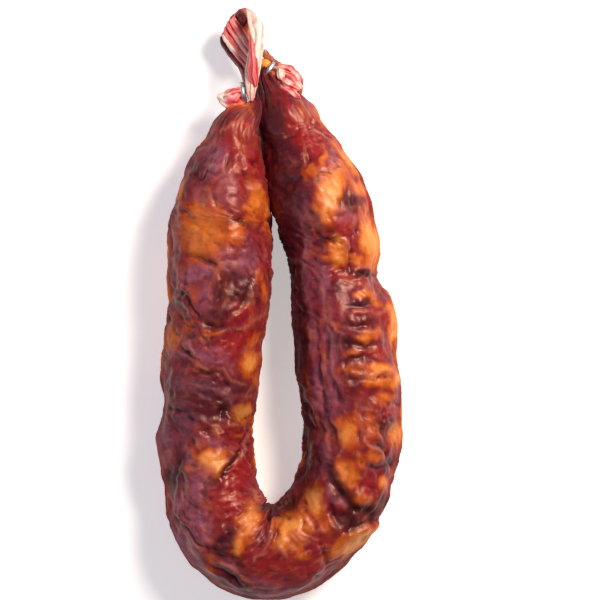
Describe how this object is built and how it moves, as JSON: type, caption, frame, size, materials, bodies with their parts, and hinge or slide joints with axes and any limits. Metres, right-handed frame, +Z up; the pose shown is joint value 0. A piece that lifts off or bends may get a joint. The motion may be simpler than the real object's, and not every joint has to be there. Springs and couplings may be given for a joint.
{
  "type": "cured sausage",
  "caption": "Horseshoe-shaped cured sausage in a natural casing, its gathered ends clipped with soft wire and joined by a twisted strip of casing to hang it by.",
  "frame": {"origin": "on the resting surface, under the middle of the whole object", "axes": "+Y along the length towards the hanging loop, +X across the two arms, +Z up from the resting surface"},
  "size_m": [0.0816, 0.197, 0.0336],
  "materials": {
    "filled_casing": "semi-gloss, finely wrinkled natural casing over dark cured meat and orange fat",
    "dried_gut": "semi-gloss dried gut, cream with pink and red streaks",
    "clip_wire": "satin drawn wire"
  },
  "bodies": {
    "root": {"sausage_body": "filled_casing", "hanging_loop": "dried_gut", "left_clip": "clip_wire", "right_clip": "clip_wire", "left_casing_tail": "dried_gut", "right_casing_tail": "dried_gut"}
  },
  "joints": []
}
